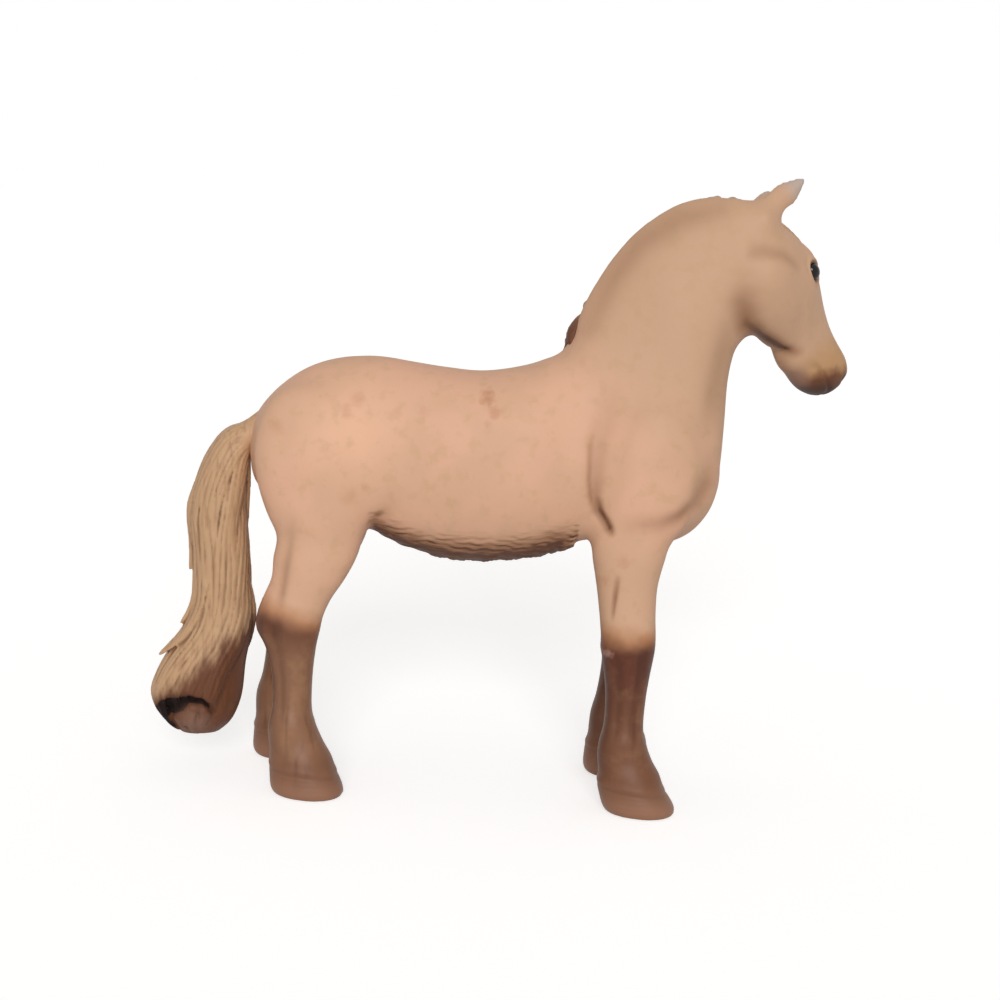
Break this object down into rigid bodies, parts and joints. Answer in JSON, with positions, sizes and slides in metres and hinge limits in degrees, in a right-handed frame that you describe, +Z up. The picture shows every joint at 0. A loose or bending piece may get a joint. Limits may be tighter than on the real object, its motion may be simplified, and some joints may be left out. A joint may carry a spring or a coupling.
{
  "type": "toy horse figure",
  "caption": "Moulded plastic toy horse standing square with its head turned to its left, glued up from two body halves, a head, legs, a mane and a tail.",
  "frame": {"origin": "on the ground, under the middle of the figure's bounding box", "axes": "+X towards the nose, +Y to the horse's left, +Z up"},
  "size_m": [0.13, 0.0356, 0.1187],
  "materials": {
    "hide": "matte paint, pale peach tan with soft mottling",
    "head_paint": "matte paint, pale tan with a brown muzzle and dark eyes",
    "leg_paint": "satin paint, tan above and sprayed brown from knee and hock down",
    "mane_hair": "matte paint, tan with darker roots",
    "tail_hair": "matte paint, golden tan that turns dark brown at the end"
  },
  "bodies": {
    "root": {"body_right_half": "hide", "body_left_half": "hide", "head": "head_paint", "fore_leg_right": "leg_paint", "fore_leg_left": "leg_paint", "hind_leg_right": "leg_paint", "hind_leg_left": "leg_paint", "mane": "mane_hair", "tail": "tail_hair"}
  },
  "joints": []
}
